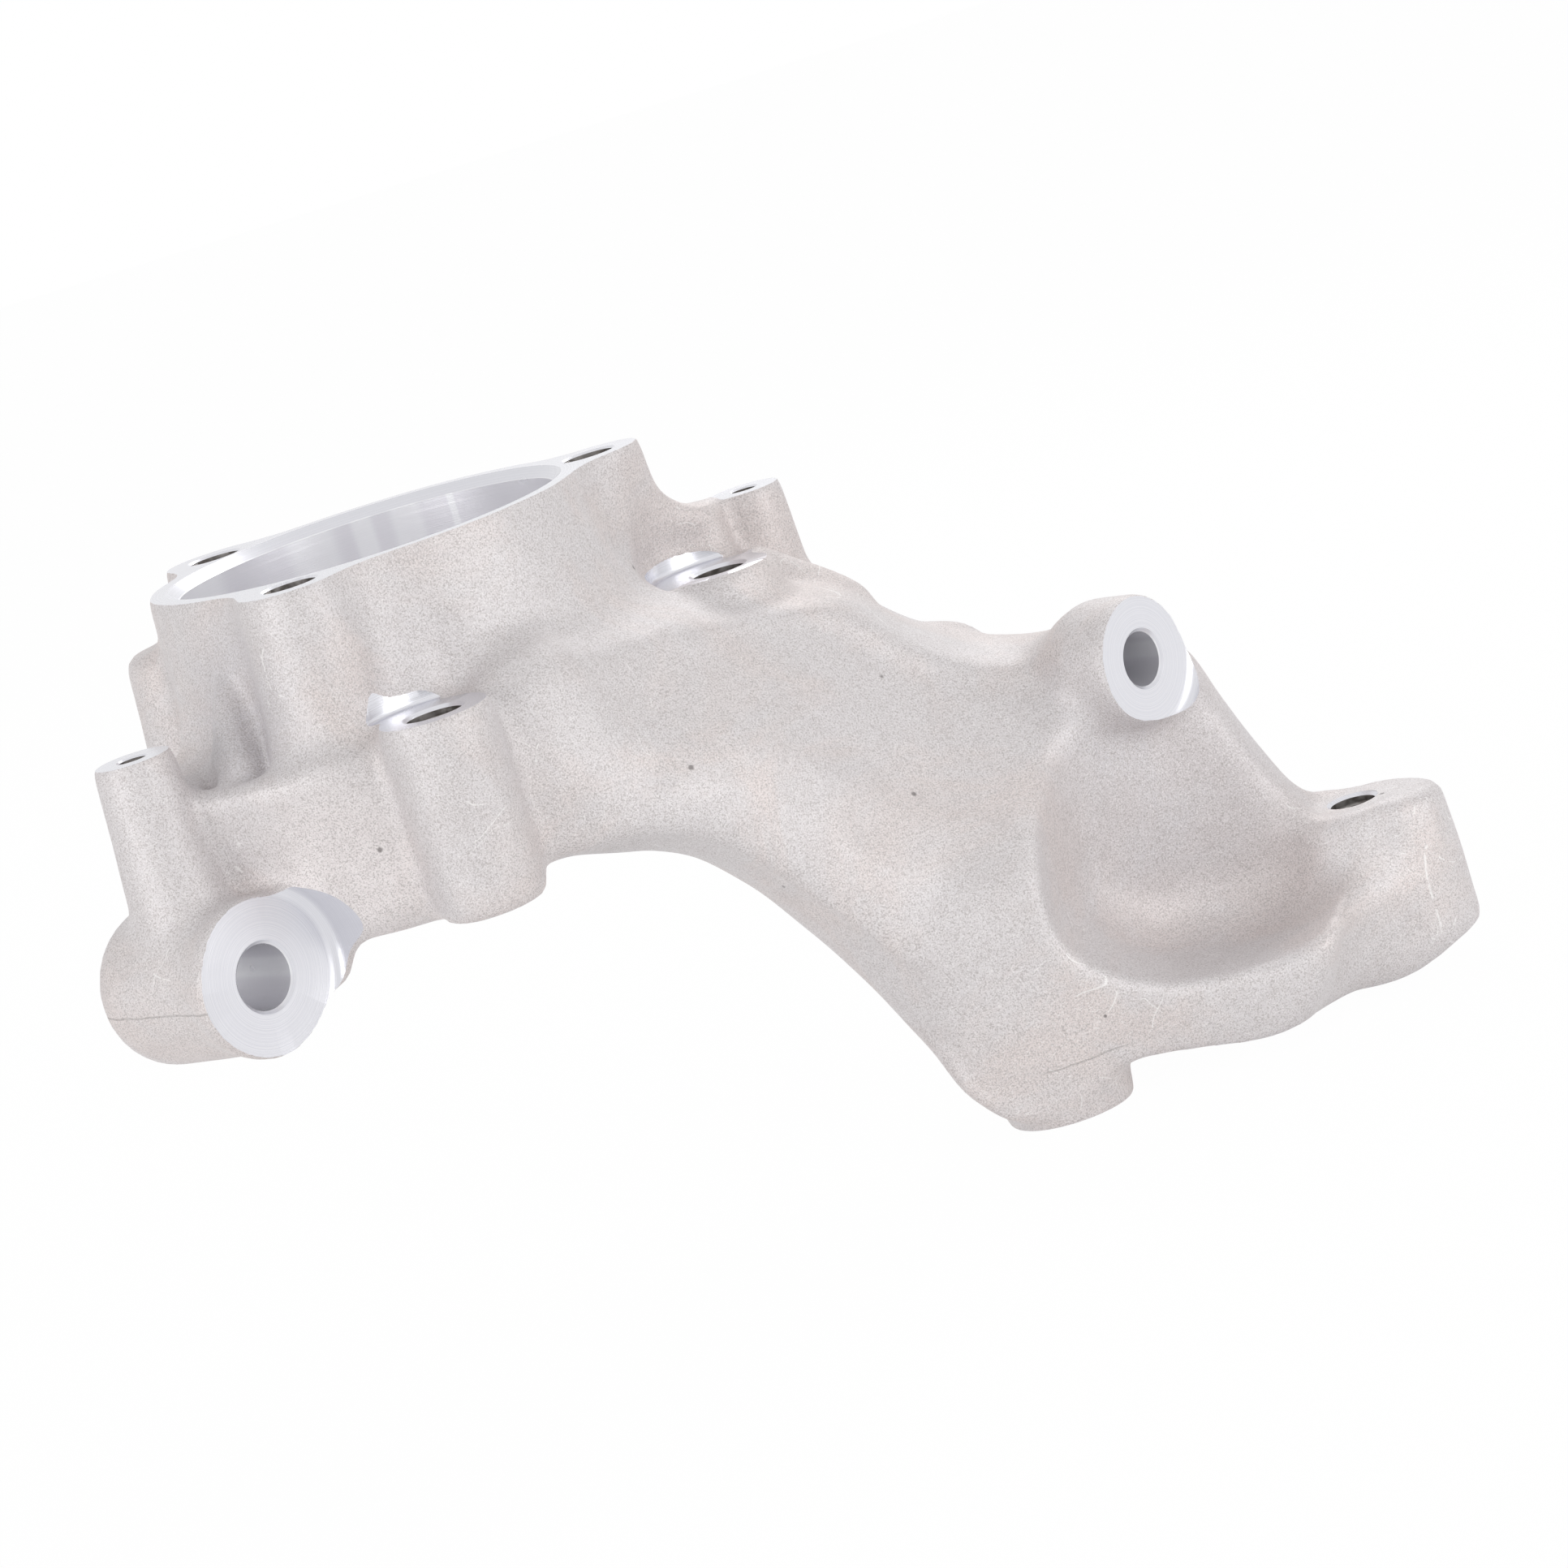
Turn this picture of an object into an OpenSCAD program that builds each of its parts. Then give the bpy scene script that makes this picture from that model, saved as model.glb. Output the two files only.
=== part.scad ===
// Steering knuckle, one aluminium casting with machined faces and bores.
// Origin: centre of the bearing bore on the outboard flange face. +Z: outboard.

/* [Hub] */
// Diameter of the wheel bearing bore
bore_d = 92; // [84:0.5:96]
// Width of the 45 degree chamfer at the mouth of the bore
bore_chamfer = 2.5; // [1:0.5:4]
// Depth of the bearing bore from the flange face to its inboard rim
bore_h = 54; // [46:1:62]
// Wall of the hub barrel at the flange
barrel_wall = 6.5; // [5:0.5:9]
// Diameter of the bolt circle of the bearing unit
bolt_circle_d = 114; // [110:0.5:120]
// Angle of the first flange bolt about the bore
bolt_angle = 14.5; // [5:0.5:25]
// Number of flange bolts
bolt_count = 3; // [3:1:4]
// Diameter of each flange bolt hole
bolt_hole_d = 12.5; // [10:0.5:14]
// Depth of each flange bolt hole
bolt_hole_h = 24; // [18:1:30]
// Radius of the flange lobe round each bolt hole
lobe_r = 12.5; // [11:0.5:15]
// Depth of each lobe below the flange face
lobe_h = 40; // [34:1:44]

/* [Caliper bosses] */
// Distance of both caliper holes from the bore axis
caliper_r = 76.6; // [72:0.2:84]
// Angle of the front caliper boss about the bore
caliper_front_angle = -84; // [-90:1:-76]
// Angle of the side caliper boss about the bore
caliper_side_angle = 0; // [-6:1:6]
// Depth of both caliper faces below the flange face
caliper_face_z = 33.5; // [28:0.5:38]
// Diameter of the caliper bolt holes
caliper_hole_d = 13; // [10:0.5:15]
// Depth of the caliper bolt holes
caliper_hole_h = 48; // [30:1:54]
// Radius of the cast caliper bosses at their faces
caliper_boss_r = 13; // [12:0.5:15]
// Radius of the cutter that faces the caliper bosses
caliper_cutter_r = 17; // [15:0.5:19]

/* [Short link boss] */
// Distance of the short link face centre left of the bore axis
short_link_x = 45.3; // [42:0.2:52]
// Distance of the short link face centre in front of the bore axis
short_link_y = 76; // [72:0.2:80]
// Depth of the short link axis below the flange face
short_link_z = 79; // [74:0.5:84]
// Bore of the short link boss
short_link_bore = 15; // [12:0.5:18]
// Radius of the machined face of the short link boss
short_link_r = 18.3; // [16:0.2:20]
// Length of the short link boss
short_link_len = 41; // [36:1:46]

/* [Long link boss] */
// Distance of the long link face centre right of the bore axis
long_link_x = 165.6; // [160:0.2:172]
// Distance of the long link face centre in front of the bore axis
long_link_y = 20; // [16:0.2:24]
// Depth of the long link axis below the flange face
long_link_z = 80.5; // [77:0.5:84]
// Bore of the long link boss
long_link_bore = 13; // [11:0.5:15]
// Radius of the machined face of the long link boss
long_link_r = 15.2; // [14:0.2:17]
// Length of the long link boss
long_link_len = 62; // [56:1:68]

/* [Shield bosses] */
// Radius of the two small bosses that carry the splash shield
shield_boss_r = 9; // [8:0.2:10.5]
// Diameter of the shield screw holes
shield_hole_d = 6.5; // [5:0.5:8]
// Depth of the shield screw holes
shield_hole_h = 20; // [14:1:28]
// Depth of the near shield face below the flange face
shield_near_z = 26; // [23:0.5:29]
// Depth of the far shield face below the flange face
shield_far_z = 21.8; // [19:0.5:25]

/* [Arm end] */
// Depth of the cast pad on the arm end below the flange face
end_pad_z = 130.5; // [126:0.5:135]
// Diameter of the threaded hole in the arm end
end_hole_d = 11; // [8:0.5:12]
// Depth of the threaded hole in the arm end
end_hole_h = 32; // [20:1:33]
// Depth of the inboard face of the stay boss below the flange face
stay_face_z = 173; // [169:0.5:178]
// Radius of the stay boss
stay_r = 15.3; // [14:0.2:17]
// Diameter of the threaded hole in the stay boss
stay_hole_d = 12; // [9:0.5:14]
// Depth of the threaded hole in the stay boss
stay_hole_h = 30; // [20:1:36]

/* [Hidden] */
$fn = 64;
CAST = [0.76, 0.74, 0.72];

bore_r = bore_d / 2;
barrel_r = bore_r + barrel_wall;
mouth_r = bore_r + bore_chamfer;
relief_r = bore_r + 3;
relief_z = 100;
lobe_fillet = 22;
long_link_lug = 14;
cutter_h = 26;
clearance_h = 4;
shield_cutter_h = 14;

// Unit vector along both link axes, pointing out of the machined faces
link_angle = -46.3;
short_link_at = [-short_link_x, -short_link_y, -short_link_z];
long_link_at = [long_link_x, -long_link_y, -long_link_z];

caliper_front_at = caliper_r * [cos(caliper_front_angle), sin(caliper_front_angle)];
caliper_side_at = caliper_r * [cos(caliper_side_angle), sin(caliper_side_angle)];
shield_near_at = [-59.9, -61];
shield_far_at = [88.4, 35];
end_at = [205, -10];
stay_at = [118.5, -40];
rim_z = 159;
gusset_at = [-34, -60];
ledge_rib_at = [-37.2, -57.4, -64];
ledge_rib_h = 42;

function lerp(a, b, t) = a + (b - a) * t;

// One point of a smooth curve through a list, for t from 0 to 1
function knot(p, i) = p[max(0, min(len(p) - 1, i))];
function along(p, t) =
    let (s = t * (len(p) - 1), i = min(floor(s), len(p) - 2), f = s - i,
         a = knot(p, i - 1), b = p[i], c = p[i + 1], d = knot(p, i + 2))
    b + 0.5 * f * ((c - a) + f * ((2 * a - 5 * b + 4 * c - d) + f * (3 * (b - c) + d - a)));

function middle(ring) = [for (p = ring) 1 / len(ring)] * ring;

// Skin over rings that all have the same number of points, closed by two fans
module skin(rings) {
    n = len(rings[0]);
    m = len(rings);
    ends = [middle(rings[0]), middle(rings[m - 1])];
    points = concat([for (r = rings, p = r) p], ends);
    // Each quad is split along its shorter diagonal
    sides = [for (j = [0 : m - 2], i = [0 : n - 1])
        let (a = j * n + i, b = j * n + (i + 1) % n, c = a + n, d = b + n,
             short = norm(points[a] - points[d]) <= norm(points[b] - points[c]))
        each short ? [[a, b, d], [a, d, c]] : [[a, b, c], [b, d, c]]];
    caps = [for (i = [0 : n - 1], k = [0, 1])
        let (a = i, b = (i + 1) % n, e = (m - 1) * n)
        k == 0 ? [b, a, m * n] : [e + a, e + b, m * n + 1]];
    polyhedron(points, concat(sides, caps), convexity = 8);
}

module at_lobes() {
    for (i = [0 : bolt_count - 1])
        rotate(bolt_angle + 360 / bolt_count * i) translate([bolt_circle_d / 2, 0, 0]) children();
}

// Places a child with its own Z along the link axis, mouth at the face
module on_link(place) {
    translate(place) rotate([0, 90, link_angle]) children();
}

module barrel() {
    rotate_extrude($fn = 96)
        polygon([[bore_r - 4, 0], [barrel_r - 1, 0], [barrel_r + 1.5, -lobe_h],
                 [barrel_r + 2, 3 - bore_h], [barrel_r - 1, -bore_h], [bore_r - 4, -bore_h]]);
}

// Points on an arc about a centre, without its first one
function arc(centre, r, from, to, n) =
    [for (i = [1 : n]) let (a = lerp(from, to, i / n)) centre + r * [cos(a), sin(a)]];

// One lobe of the flange outline: fillet, lobe, fillet, then the barrel up to the next lobe
function lobe_outline(turn) =
    let (d = bolt_circle_d / 2, far = barrel_r + lobe_fillet, near = lobe_r + lobe_fillet,
         side = acos((far * far + d * d - near * near) / (2 * far * d)),
         lean = atan2(far * sin(side), far * cos(side) - d),
         next = 360 / bolt_count,
         at = function(r, a) r * [cos(turn + a), sin(turn + a)])
    concat(
        arc(at(far, -side), lobe_fillet, turn - side + 180, turn - lean + 180, 5),
        arc(at(d, 0), lobe_r, turn - lean, turn + lean, 14),
        arc(at(far, side), lobe_fillet, turn + lean - 180, turn + side - 180, 5),
        [for (i = [1 : 10]) at(barrel_r, lerp(side, next - side, i / 10))]);

module flange() {
    translate([0, 0, -lobe_h])
        linear_extrude(lobe_h)
            polygon([for (i = [0 : bolt_count - 1]) each lobe_outline(bolt_angle + 360 / bolt_count * i)]);
}

// Plans of the casting that wraps the front of the barrel, seen from outboard:
// at the height of the ledge, and lower down where it leans out over the link
skirt_plan = [[-71, -32], [-68, -54], [-52, -68], [-24, -76], [6, -75], [26, -67], [44, -53],
              [60, -35], [74, -12], [76, 14], [60, 30]];
skirt_low = [[-72, -34], [-69, -52], [-54, -63], [-26, -70.5], [4, -76], [25, -68], [43, -56],
             [60, -38], [74, -14], [76, 12], [60, 30]];
skirt_inside = [[30, 20], [0, -18], [-40, -10]];
// How much of the flare each plan point takes: none leaves a ledge in front of the barrel
skirt_flare = [0.6, 0, 0, 0.1, 0.9, 1, 1, 1, 1, 1, 1];
// Height, flare, ledge, and lean from the plan to the low plan
skirt_steps = [[-16, 0, 0, 0], [-23, 0.1, 0, 0], [-29, 0.28, 0, 0], [-34, 0.54, 0.05, 0], [-38, 0.8, 0.9, 0.1],
               [-40, 0.88, 1, 0.15], [-48, 1, 1, 0.4], [-60, 1, 1, 0.9], [-71, 1, 1, 1], [-77, 0.93, 0.93, 0.8],
               [-80, 0.72, 0.72, 0.6]];

function skirt_ring(z, flare, ledge, lean) = concat(
    [for (i = [0 : len(skirt_plan) - 1])
        let (p = lerp(skirt_plan[i], skirt_low[i], lean),
             q = lerp((barrel_r - 1) * p / norm(p), p, lerp(ledge, flare, skirt_flare[i])))
        [q.x, q.y, z]],
    [for (p = skirt_inside) [p.x, p.y, z]]);

module skirt() {
    skin([for (s = skirt_steps) skirt_ring(s[0], s[1], s[2], s[3])]);
}

// Arm stations from the hub to the arm end. Each gives the upper edge and the
// lower edge as X, Z, then the front and back of the upper edge, of the lower
// edge and of the web as Y, how far down the section the scoop reaches, and
// how far back the foot of the lower edge leans.
arm_stations = [
    [[34, -34], [-4, -76], [-58, -30], [-73, -40], [-69, -38], 0.5, 0.6],
    [[60, -39], [20, -79], [-40, 10], [-70, -34], [-60, -24], 0.5, 0.6],
    [[84, -42], [36, -81], [-24, 34], [-67, -26], [-50, -6], 0.5, 0.6],
    [[102, -47], [49, -88.5], [-15, 40], [-62, -18], [-42, 6], 0.5, 0.6],
    [[115, -60], [60.5, -100], [-12, 40], [-58, -14], [-37, 10], 0.5, 0.6],
    [[129, -69.5], [72, -116], [-13, 34], [-57, -10], [-35, 12], 0.5, 0.5],
    [[143, -73.5], [82, -132.5], [-15, 26], [-57, -6], [-34, 14], 0.5, 0.4],
    [[158, -74], [90, -148], [-17, 24], [-57, -4], [-30, 17], 0.54, 0.25],
    [[176, -83], [97, -162], [-17, 26], [-57, -2], [-19, 19], 0.6, 0.1],
    [[183, -99], [109, -170], [-15, 26], [-57, 0], [-11, 20], 0.65, 0.06],
    [[189, -115], [135, -168], [-13, 24], [-55, 0], [-3, 19], 0.7, 0.06],
    [[196, -129], [162, -169], [-14, 18], [-52, 0], [-3, 14], 0.68, 0.1],
    [[204, -131], [184, -171], [-18, 8], [-48, 0], [-14, 8], 0.66, 0.15],
    [[210, -132], [203, -171], [-22, 4], [-36, -2], [-20, 4], 0.64, 0.2],
    [[215, -138], [214, -168], [-22, 0], [-26, -4], [-23, -2], 0.6, 0.2]];

// Ring of points round one station: distance down the section and depth
function arm_ring(top, low, web, scoop, foot) =
    // The deeper part of the scoop ends in a narrow slope, the rest of the arm in a broad one
    let (crisp = min(max((scoop - 0.5) / 0.1, 0), 1)) [
    [0, lerp(top[0], top[1], 0.5)],
    [0.015, lerp(top[0], top[1], 0.22)],
    [0.05, lerp(top[0], top[1], 0.06)],
    [0.12, top[0]],
    [lerp(0.12, scoop, 0.4), lerp(top[0], web[0], 0.5)],
    [lerp(0.12, scoop, lerp(0.75, 0.86, crisp)), web[0]],
    [scoop, lerp(web[0], low[0], 0.25)],
    [lerp(scoop, 0.8, lerp(0.2, 0.17, crisp)), lerp(web[0], low[0], lerp(0.72, 0.8, crisp))],
    [lerp(scoop, 0.8, lerp(0.45, 0.36, crisp)), lerp(web[0], low[0], lerp(0.93, 0.98, crisp))],
    [0.8, low[0]],
    [0.88, lerp(low[0], low[1], 0.17 * foot)],
    [0.95, lerp(low[0], low[1], 0.5 * foot)],
    [1, lerp(low[0], low[1], foot)],
    [0.97, lerp(low[0], low[1], 0.88)],
    [0.9, low[1]],
    [0.76, lerp(low[1], web[1], 0.8)],
    [0.62, web[1]],
    [0.46, web[1]],
    [0.3, web[1]],
    [0.18, lerp(web[1], top[1], 0.6)],
    [0.08, top[1]],
    [0.02, lerp(top[1], top[0], 0.15)]];

function arm_section(t) =
    let (s = [for (k = [0 : 6]) along([for (row = arm_stations) row[k]], t)])
    [for (p = arm_ring(s[2], s[3], s[4], s[5], s[6]))
        let (q = lerp(s[0], s[1], p[0])) [q.x, p[1], q[1]]];

module arm() {
    steps = 28;
    skin([for (i = [steps : -1 : 0]) arm_section(i / steps)]);
}

// Tapered cast boss standing on the Z axis, from its face down
module boss(place, face_z, h, r, draft) {
    translate([place.x, place.y, -face_z - h]) cylinder(h = h, r1 = r + draft, r2 = r);
}

module short_link_boss() {
    on_link(short_link_at)
        rotate_extrude()
            polygon([[0, 0], [short_link_r, 0], [short_link_r, -3], [short_link_r - 1.2, -8],
                     [short_link_r - 0.2, -22], [short_link_r + 0.5, 7 - short_link_len],
                     [short_link_r - 0.8, 2 - short_link_len], [short_link_r - 3.5, -short_link_len],
                     [0, -short_link_len]]);
}

// The long link boss stands out at both ends of its bore; the arm fills the middle
module long_link_boss() {
    on_link(long_link_at)
        rotate_extrude()
            polygon([[0, 0], [long_link_r, 0], [long_link_r + 0.3, -long_link_lug],
                     [long_link_r - 2.2, -long_link_lug - 6], [long_link_r - 6.5, -long_link_lug - 12],
                     [long_link_r - 6.5, 10 - long_link_len], [long_link_r - 4.2, 6 - long_link_len],
                     [long_link_r - 1.2, 4 - long_link_len], [long_link_r - 1.2, -long_link_len],
                     [0, -long_link_len]]);
}

// Thick rib on the side of the barrel, over the short link boss
module side_rib() {
    translate([-barrel_r, 4, -50]) cylinder(h = 37.5, r1 = 14, r2 = 11);
}

// Wall from the flange lobe beside the arm to the far shield boss
module shield_wall() {
    hull()
        for (p = [[55, 12, -60], [84, 31, -74]])
            translate(p) cylinder(h = -20.5 - p.z, r1 = 9, r2 = 7.5, $fn = 32);
}

// Foot of the skirt beside the short link boss
module gusset() {
    translate([gusset_at.x, gusset_at.y, -short_link_z - 10]) cylinder(h = 21, r1 = 6, r2 = 10.5, $fn = 48);
}

// Rounded block on the arm end, under its cast pad
module end_block() {
    hull()
        for (p = [[-2, -169], [7.5, -167]])
            translate([end_at.x + p[0], end_at.y - 2.5, p[1]]) cylinder(h = -p[1] - end_pad_z, r1 = 14.6, r2 = 13.6, $fn = 32);
}

module casting() {
    barrel();
    flange();
    skirt();
    arm();
    side_rib();
    shield_wall();
    gusset();
    end_block();
    short_link_boss();
    long_link_boss();

    boss(caliper_front_at, caliper_face_z, 44, caliper_boss_r, -0.8);
    boss(caliper_side_at, caliper_face_z, 30, caliper_boss_r, 3);
    boss(shield_near_at, shield_near_z, 48, shield_boss_r, 3);
    boss(shield_far_at, shield_far_z, 34, shield_boss_r, 2);
    translate([stay_at.x, stay_at.y, -stay_face_z]) cylinder(h = stay_face_z - rim_z, r = stay_r);
}

// Hollow between the ledge on the left and the barrel
module ledge_pocket() {
    translate([0, 0, -57])
        linear_extrude(40)
            difference() {
                polygon([[-53, -44], [-50.5, -57.5], [-46, -62.5], [-27, -68.5], [-23, -66], [-24, -50], [-46, -33]]);
                circle(barrel_r + 1.5);
            }
}

// Machined pocket above a boss: the cutter's face and the bore below it
module spot_face(r, reach) {
    cylinder(h = reach, r = r);
}

module through_bore(d, h, chamfer) {
    translate([0, 0, -h]) cylinder(h = h + 1, d = d);
    if (chamfer > 0)
        translate([0, 0, -chamfer]) cylinder(h = chamfer + 1, d1 = d, d2 = d + 2 * (chamfer + 1));
}

module machining() {
    translate([0, 0, -relief_z]) cylinder(h = relief_z - bore_h, r = relief_r, $fn = 96);
    translate([0, 0, -bore_h - 1]) cylinder(h = bore_h + 2, r = bore_r, $fn = 96);
    translate([0, 0, -bore_chamfer])
        cylinder(h = bore_chamfer + 1, r1 = bore_r, r2 = mouth_r + 1, $fn = 96);
    at_lobes() through_bore(bolt_hole_d, bolt_hole_h, 0);
    translate([caliper_front_at.x, caliper_front_at.y, -caliper_face_z]) {
        spot_face(caliper_cutter_r, cutter_h);
        through_bore(caliper_hole_d, caliper_hole_h, 0.8);
    }
    // The side boss has cast clearance above its machined ring, where the flange lobe is close
    translate([caliper_side_at.x, caliper_side_at.y, -caliper_face_z]) {
        spot_face(caliper_cutter_r, clearance_h);
        translate([0, 0, clearance_h - 0.5])
            cylinder(h = caliper_face_z - clearance_h + 1, r1 = caliper_cutter_r + 1, r2 = caliper_cutter_r - 5);
        through_bore(caliper_hole_d, caliper_hole_h, 0.8);
    }
    on_link(short_link_at) {
        spot_face(short_link_r + 2, cutter_h);
        through_bore(short_link_bore, short_link_len + 1, 0.8);
    }
    on_link(long_link_at) {
        spot_face(long_link_r + 2, cutter_h);
        through_bore(long_link_bore, long_link_len + 1, 0.7);
        translate([0, 0, -long_link_len]) rotate([180, 0, 0]) spot_face(long_link_r + 2, cutter_h);
    }
    translate([shield_near_at.x, shield_near_at.y, -shield_near_z]) {
        spot_face(shield_boss_r + 1.5, shield_cutter_h);
        through_bore(shield_hole_d, shield_hole_h, 0.4);
    }
    translate([shield_far_at.x, shield_far_at.y, -shield_far_z]) {
        spot_face(shield_boss_r + 1.5, shield_cutter_h);
        through_bore(shield_hole_d, shield_hole_h, 0.4);
    }
    translate([end_at.x, end_at.y, -end_pad_z]) through_bore(end_hole_d, end_hole_h, 0.8);
    translate([stay_at.x, stay_at.y, -stay_face_z]) rotate([180, 0, 0]) through_bore(stay_hole_d, stay_hole_h, 0.8);
}

module knuckle() {
    color(CAST) difference() {
        union() {
            difference() {
                casting();
                ledge_pocket();
            }
            // A rib in the hollow that leans back into the barrel
            translate(ledge_rib_at) rotate([-13.9, 3.5, 0]) cylinder(h = ledge_rib_h, r1 = 8.6, r2 = 3, $fn = 32);
        }
        machining();
    }
}

knuckle();
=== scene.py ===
"""A cast aluminium steering knuckle with machined faces, bores and threads, on a white ground."""

import math

import bmesh
import bpy
import numpy as np
from mathutils import Matrix, Vector
from mathutils.bvhtree import BVHTree

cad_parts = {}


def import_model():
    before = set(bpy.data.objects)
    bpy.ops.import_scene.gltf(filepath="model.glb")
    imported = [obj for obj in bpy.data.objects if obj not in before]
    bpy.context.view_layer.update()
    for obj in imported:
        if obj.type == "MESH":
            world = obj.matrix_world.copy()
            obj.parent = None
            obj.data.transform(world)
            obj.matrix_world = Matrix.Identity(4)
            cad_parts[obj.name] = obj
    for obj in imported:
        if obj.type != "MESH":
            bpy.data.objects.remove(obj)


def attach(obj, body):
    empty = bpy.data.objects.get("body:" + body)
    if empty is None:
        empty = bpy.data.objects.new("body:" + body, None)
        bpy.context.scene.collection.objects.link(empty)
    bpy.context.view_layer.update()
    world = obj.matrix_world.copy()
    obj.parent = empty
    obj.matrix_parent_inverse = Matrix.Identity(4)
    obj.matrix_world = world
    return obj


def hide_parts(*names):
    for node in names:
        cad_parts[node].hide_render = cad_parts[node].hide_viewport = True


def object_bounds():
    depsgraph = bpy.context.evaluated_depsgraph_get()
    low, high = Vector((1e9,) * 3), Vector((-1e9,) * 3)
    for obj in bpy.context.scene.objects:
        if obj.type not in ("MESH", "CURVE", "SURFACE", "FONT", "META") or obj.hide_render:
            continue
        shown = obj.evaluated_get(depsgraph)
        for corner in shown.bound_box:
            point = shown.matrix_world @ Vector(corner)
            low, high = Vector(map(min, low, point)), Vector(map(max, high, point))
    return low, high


MM = 0.001

# Sizes of the knuckle in millimetres, as in the part
BORE_R = 46.0
BORE_H = 54.0
BORE_CHAMFER = 2.5
BARREL_R = 52.5
BOLT_CIRCLE_R = 57.0
BOLT_ANGLES = (14.5, 134.5, 254.5)
BOLT_HOLE_R = 6.25
BOLT_HOLE_H = 24.0
LOBE_R = 12.5
LOBE_H = 40.0
LOBE_FILLET = 22.0
RELIEF_R = 49.0
RELIEF_Z = -100.0
CALIPER_HOLE_R = 6.5
CALIPER_HOLE_H = 48.0
SHORT_HOLE_R = 7.5
SHORT_LENGTH = 41.0
LONG_HOLE_R = 6.5
LONG_LENGTH = 62.0
SHIELD_HOLE_R = 3.25
SHIELD_HOLE_H = 20.0
END_HOLE_R = 5.5
END_HOLE_H = 32.0
STAY_HOLE_R = 6.0
STAY_HOLE_H = 30.0

LINK_ANGLE = math.radians(-46.3)
LINK = np.array([math.cos(LINK_ANGLE), math.sin(LINK_ANGLE), 0.0])
SHORT_LINK = np.array([-45.3, -76.0, -79.0])
LONG_LINK = np.array([165.6, -20.0, -80.5])
FRONT_CALIPER = np.array([8.007, -76.18, -33.5])
SIDE_CALIPER = np.array([76.6, 0.0, -33.5])
NEAR_SHIELD = np.array([-59.9, -61.0, -26.0])
FAR_SHIELD = np.array([88.4, 35.0, -21.8])
ARM_END = np.array([205.0, -10.0, -130.5])
STAY = np.array([118.5, -40.0, -173.0])
UP = np.array([0.0, 0.0, 1.0])

# Stock left on every face that is machined, and the pitch of the casting's surface
STOCK = 1.6
PITCH = 1.4


# Fields: how far each point of a grid lies outside a shape


class Grid:
    """Points at an even pitch over the box of the casting."""

    def __init__(self, low, high, pitch):
        self.low = np.array(low, np.float32)
        self.pitch = pitch
        self.shape = tuple(int(math.ceil((b - a) / pitch)) + 1 for a, b in zip(low, high))
        sides = [low[k] + pitch * np.arange(self.shape[k], dtype=np.float32) for k in range(3)]
        self.x, self.y, self.z = np.meshgrid(*sides, indexing="ij", sparse=True)

    def coarse(self, every):
        high = self.low + self.pitch * (np.array(self.shape) - 1)
        return Grid(self.low, high + every * self.pitch, every * self.pitch)

    def points(self):
        x, y, z = np.broadcast_arrays(self.x, self.y, self.z)
        return np.stack([x, y, z], axis=-1)


def blend(a, b, k):
    """Union of two fields with a fillet of about k where they meet."""
    h = np.clip(0.5 + 0.5 * (b - a) / k, 0.0, 1.0)
    return b + h * (a - b) - k * h * (1.0 - h)


def carve(a, b, k):
    """Field a with shape b taken out, its rim rounded by about k."""
    return -blend(-a, b, k)


def capped(side, low, high, rounding):
    """Closes a field that is known sideways by two end planes with rounded rims."""
    ends = np.maximum(low, high) + rounding
    side = side + rounding
    outer = np.sqrt(np.maximum(side, 0.0) ** 2 + np.maximum(ends, 0.0) ** 2)
    return outer + np.minimum(np.maximum(side, ends), 0.0) - rounding


def column(grid, place, bottom, top, r_bottom, r_top, rounding=1.5):
    """Upright round column whose radius runs from r_bottom to r_top."""
    out = np.hypot(grid.x - place[0], grid.y - place[1])
    slope = (r_top - r_bottom) / (top - bottom)
    radius = r_bottom + slope * (np.clip(grid.z, bottom, top) - bottom)
    side = (out - radius) / math.hypot(1.0, slope)
    return capped(side, bottom - grid.z, grid.z - top, rounding)


def spindle(grid, place, axis, profile, rounding=1.5):
    """Round shape about a slanted axis; profile lists distance along it and radius."""
    dx, dy, dz = grid.x - place[0], grid.y - place[1], grid.z - place[2]
    s = dx * axis[0] + dy * axis[1] + dz * axis[2]
    out = np.sqrt(np.maximum(dx * dx + dy * dy + dz * dz - s * s, 0.0))
    far, radius = zip(*sorted(profile))
    side = out - np.interp(s, far, radius).astype(np.float32)
    return capped(side, far[0] - s, s - far[-1], rounding)


def outline_distance(u, v, outline):
    """Distance from points u, v to a closed outline, negative inside it."""
    best = np.full(u.shape, 1e6, np.float32)
    inside = np.zeros(u.shape, bool)
    for a, b in zip(outline, np.roll(outline, -1, axis=0)):
        eu, ev = b - a
        t = np.clip(((u - a[0]) * eu + (v - a[1]) * ev) / (eu * eu + ev * ev), 0.0, 1.0)
        best = np.minimum(best, np.hypot(u - a[0] - t * eu, v - a[1] - t * ev))
        if ev:
            inside ^= ((a[1] > v) != (b[1] > v)) & (u < a[0] + (v - a[1]) * eu / ev)
    return np.where(inside, -best, best)


def plan_field(grid, outline):
    """Sideways distance to an upright wall that stands on an outline of X and Y."""
    u, v = np.broadcast_arrays(grid.x[:, :, 0], grid.y[:, :, 0])
    return outline_distance(u, v, outline)[:, :, None]


def front_field(grid, outline):
    """Sideways distance to a wall that runs straight back from an outline of X and Z."""
    u, v = np.broadcast_arrays(grid.x[:, 0, :], grid.z[:, 0, :])
    return outline_distance(u, v, outline)[:, None, :]


def upright(grid, plan, bottom, top, draft=0.0, rounding=1.0):
    """A plan outline run from bottom to top, growing by draft towards its foot."""
    side = plan - draft * (top - np.clip(grid.z, bottom, top))
    return capped(side, bottom - grid.z, grid.z - top, rounding)


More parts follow.
